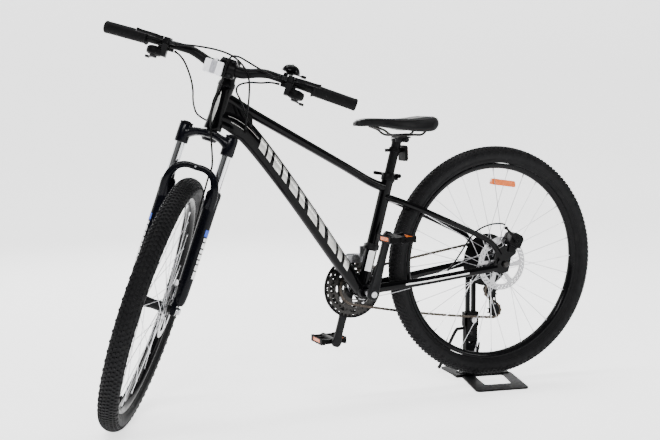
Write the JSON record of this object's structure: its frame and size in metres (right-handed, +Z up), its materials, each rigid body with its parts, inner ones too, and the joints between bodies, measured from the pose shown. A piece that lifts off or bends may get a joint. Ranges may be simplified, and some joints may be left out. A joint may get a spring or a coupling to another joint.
{
  "type": "bicycle on stand",
  "caption": "Hardtail bicycle with front suspension, disc brakes and derailleur gears, its rear end held upright by a black display stand.",
  "frame": {"origin": "middle of the underside of the stand's cross plate, below the rear axle and 92 mm to the right of the wheels' midplane", "axes": "+X towards the rear of the bicycle, -Y towards the rider's left, +Z up"},
  "size_m": [1.6074, 0.6306, 1.0763],
  "materials": {
    "gloss_black_paint": "gloss black paint",
    "black_alloy": "satin black anodised alloy",
    "satin_steel": "satin zinc-plated steel",
    "polished_stanchion": "polished stanchions under a black crown",
    "black_rubber": "matt black rubber",
    "tyre_rubber": "matt black knobbly tread",
    "black_plastic": "matt black plastic",
    "saddle_vinyl": "matt black vinyl",
    "cable_housing": "black cable housing",
    "red_reflector": "dark housing with a red lens",
    "white_reflector": "clear white lens",
    "stand_black_powder": "satin black powder coat"
  },
  "bodies": {
    "stand": {"stand_base": "stand_black_powder"},
    "stand_upright_body": {"stand_upright": "stand_black_powder"},
    "knob_body": {"stand_knob": "satin_steel"},
    "brace_body": {"stand_brace": "stand_black_powder"},
    "frame_body": {"frame": "gloss_black_paint", "seat_collar": "black_alloy", "front_derailleur": "black_alloy", "rd_mount": "black_alloy", "chain": "satin_steel", "rear_caliper": "black_alloy", "rear_brake_hose": "cable_housing", "rear_skewer": "satin_steel"},
    "seat_lever_body": {"seat_qr_lever": "black_alloy"},
    "fd_cage_body": {"fd_cage": "satin_steel"},
    "rd_link_body": {"rd_body": "black_alloy"},
    "rd_cage_body": {"rd_cage": "black_alloy"},
    "guide_pulley_body": {"rd_guide_pulley": "black_plastic"},
    "tension_pulley_body": {"rd_tension_pulley": "black_plastic"},
    "rear_arm_body": {"rear_brake_arm": "black_alloy"},
    "rear_lever_body": {"rear_qr_lever": "black_alloy"},
    "seat_body": {"seatpost": "black_alloy", "saddle_rails": "satin_steel", "saddle": "saddle_vinyl", "rear_reflector": "red_reflector"},
    "rear_wheel_body": {"rear_tyre": "tyre_rubber", "rear_rim": "black_alloy", "rear_hub": "satin_steel", "rear_rotor": "satin_steel"},
    "cassette_body": {"cassette": "satin_steel"},
    "crank_body": {"crank_left": "black_alloy", "crank_right": "black_alloy", "chainrings": "satin_steel"},
    "left_pedal_body": {"left_pedal": "black_plastic"},
    "right_pedal_body": {"right_pedal": "black_plastic"},
    "steering_body": {"fork_upper": "polished_stanchion", "stem": "black_alloy", "handlebar": "gloss_black_paint", "left_grip": "black_rubber", "right_grip": "black_rubber", "left_control": "black_plastic", "right_control": "black_plastic", "bell": "black_alloy", "front_reflector": "white_reflector", "cable_front_brake": "cable_housing", "cable_rear_brake": "cable_housing", "cable_front_shift": "cable_housing", "cable_rear_shift": "cable_housing"},
    "left_brake_lever_body": {"left_brake_lever": "satin_steel"},
    "right_brake_lever_body": {"right_brake_lever": "satin_steel"},
    "left_paddle_body": {"left_shift_paddle": "satin_steel"},
    "right_paddle_body": {"right_shift_paddle": "satin_steel"},
    "bell_lever_body": {"bell_lever": "black_plastic"},
    "fork_lowers_body": {"fork_lowers": "gloss_black_paint", "front_caliper": "black_alloy"},
    "front_arm_body": {"front_brake_arm": "black_alloy"},
    "front_lever_body": {"front_qr_lever": "black_alloy"},
    "front_wheel_body": {"front_tyre": "tyre_rubber", "front_rim": "black_alloy", "front_hub": "satin_steel", "front_rotor": "satin_steel"}
  },
  "joints": [
    {"name": "stand_height", "type": "slide", "parent": "stand", "child": "stand_upright_body", "axis": [0, 0, 1], "range_m": [-0.06, 0]},
    {"name": "stand_knob_turn", "type": "hinge", "parent": "stand", "child": "knob_body", "pos_m": [-0.023, -0.022, 0.182], "axis": [0, 1, 0], "range_deg": [0, 360]},
    {"name": "stand_brace_fold", "type": "hinge", "parent": "stand", "child": "brace_body", "pos_m": [-0.029, 0.01, 0.15], "axis": [1, 0, 0], "range_deg": [0, 60]},
    {"name": "bike_lift", "type": "slide", "parent": "stand", "child": "frame_body", "axis": [0, 0, 1], "range_m": [0, 0.12]},
    {"name": "steering", "type": "hinge", "parent": "frame_body", "child": "steering_body", "pos_m": [-0.884, -0.092, 0.7733], "axis": [0.3366, 0, 0.9416], "range_deg": [-130, 8], "deforming": ["cable_front_brake", "cable_rear_brake", "cable_front_shift", "cable_rear_shift"]},
    {"name": "fork_travel", "type": "slide", "parent": "steering_body", "child": "fork_lowers_body", "axis": [0.3366, 0, 0.9416], "range_m": [0, 0.08], "stiffness_N_per_m": 6000, "springref_m": -0.03, "deforming": ["cable_front_brake"]},
    {"name": "front_wheel_spin", "type": "hinge", "parent": "fork_lowers_body", "child": "front_wheel_body", "pos_m": [-1.0618, -0.13101, 0.33242], "axis": [-0.8463, 0.4384, 0.3025], "continuous": true},
    {"name": "front_brake_arm_pull", "type": "hinge", "parent": "fork_lowers_body", "child": "front_arm_body", "pos_m": [-0.96603, -0.0976, 0.33708], "axis": [-0.8463, 0.4384, 0.3025], "range_deg": [0, 12], "deforming": ["cable_front_brake"]},
    {"name": "front_quick_release", "type": "hinge", "parent": "fork_lowers_body", "child": "front_lever_body", "pos_m": [-1.12342, -0.09909, 0.35445], "axis": [-0.0539, -0.6355, 0.7702], "range_deg": [0, 100]},
    {"name": "rear_wheel_spin", "type": "hinge", "parent": "frame_body", "child": "rear_wheel_body", "pos_m": [0, -0.092, 0.3735], "axis": [0, 1, 0], "continuous": true},
    {"name": "crank_spin", "type": "hinge", "parent": "frame_body", "child": "crank_body", "pos_m": [-0.437, -0.092, 0.316], "axis": [0, 1, 0], "continuous": true},
    {"name": "cassette_spin", "type": "hinge", "parent": "frame_body", "child": "cassette_body", "pos_m": [0, -0.092, 0.3735], "axis": [0, 1, 0], "continuous": true},
    {"name": "left_pedal_spin", "type": "hinge", "parent": "crank_body", "child": "left_pedal_body", "pos_m": [-0.391, -0.2255, 0.47966], "axis": [0, 1, 0], "continuous": true},
    {"name": "right_pedal_spin", "type": "hinge", "parent": "crank_body", "child": "right_pedal_body", "pos_m": [-0.483, 0.0415, 0.15234], "axis": [0, 1, 0], "continuous": true},
    {"name": "left_brake_lever_pull", "type": "hinge", "parent": "steering_body", "child": "left_brake_lever_body", "pos_m": [-0.70499, -0.26438, 0.91567], "axis": [0.3366, 0, 0.9416], "range_deg": [0, 18], "stiffness_Nm_per_rad": 0.6},
    {"name": "left_shift_push", "type": "hinge", "parent": "steering_body", "child": "left_paddle_body", "pos_m": [-0.70949, -0.25888, 0.86206], "axis": [-0.3366, 0, -0.9416], "range_deg": [0, 20], "stiffness_Nm_per_rad": 0.3},
    {"name": "right_brake_lever_pull", "type": "hinge", "parent": "steering_body", "child": "right_brake_lever_body", "pos_m": [-1.01644, -0.10306, 1.027], "axis": [-0.3366, 0, -0.9416], "range_deg": [0, 18], "stiffness_Nm_per_rad": 0.6},
    {"name": "right_shift_push", "type": "hinge", "parent": "steering_body", "child": "right_paddle_body", "pos_m": [-1.03787, -0.08879, 0.97944], "axis": [0.3366, 0, 0.9416], "range_deg": [0, 20], "stiffness_Nm_per_rad": 0.3},
    {"name": "bell_lever_push", "type": "hinge", "parent": "steering_body", "child": "bell_lever_body", "pos_m": [-0.70661, -0.22767, 0.93396], "axis": [0.3366, 0, 0.9416], "range_deg": [0, 25], "stiffness_Nm_per_rad": 0.1},
    {"name": "seatpost_height", "type": "slide", "parent": "frame_body", "child": "seat_body", "axis": [0.2571, 0, 0.9664], "range_m": [-0.03, 0.09]},
    {"name": "seat_quick_release", "type": "hinge", "parent": "frame_body", "child": "seat_lever_body", "pos_m": [-0.32571, -0.0675, 0.64287], "axis": [-0.1644, 0, -0.9864], "range_deg": [0, 100]},
    {"name": "rear_quick_release", "type": "hinge", "parent": "frame_body", "child": "rear_lever_body", "pos_m": [0, -0.0065, 0.3735], "axis": [-0.774, 0, -0.6332], "range_deg": [0, 100]},
    {"name": "front_derailleur_swing", "type": "hinge", "parent": "frame_body", "child": "fd_cage_body", "pos_m": [-0.415, -0.0595, 0.44], "axis": [1, 0, 0], "range_deg": [0, 18], "deforming": ["chain"]},
    {"name": "rear_derailleur_swing", "type": "hinge", "parent": "frame_body", "child": "rd_link_body", "pos_m": [0.028, -0.015, 0.312], "axis": [1, 0, 0], "range_deg": [-6, 13], "deforming": ["chain"]},
    {"name": "rd_cage_swing", "type": "hinge", "parent": "rd_link_body", "child": "rd_cage_body", "pos_m": [0.025, -0.0485, 0.274], "axis": [0, 1, 0], "range_deg": [-30, 20], "deforming": ["chain"]},
    {"name": "guide_pulley_spin", "type": "hinge", "parent": "rd_cage_body", "child": "guide_pulley_body", "pos_m": [0.025, -0.0485, 0.274], "axis": [0, 1, 0], "continuous": true},
    {"name": "tension_pulley_spin", "type": "hinge", "parent": "rd_cage_body", "child": "tension_pulley_body", "pos_m": [0.036, -0.0485, 0.212], "axis": [0, 1, 0], "continuous": true},
    {"name": "rear_brake_arm_pull", "type": "hinge", "parent": "frame_body", "child": "rear_arm_body", "pos_m": [0.03419, -0.1786, 0.44361], "axis": [0, 1, 0], "range_deg": [0, 12], "deforming": ["rear_brake_hose"]}
  ],
  "couplings": [
    {"joint": "cassette_spin", "follows": "crank_spin", "ratio": 0.85714},
    {"joint": "guide_pulley_spin", "follows": "crank_spin", "ratio": -2.1818},
    {"joint": "tension_pulley_spin", "follows": "crank_spin", "ratio": 2.1818},
    {"joint": "front_brake_arm_pull", "follows": "left_brake_lever_pull", "ratio": 0.65},
    {"joint": "rear_brake_arm_pull", "follows": "right_brake_lever_pull", "ratio": 0.65}
  ]
}
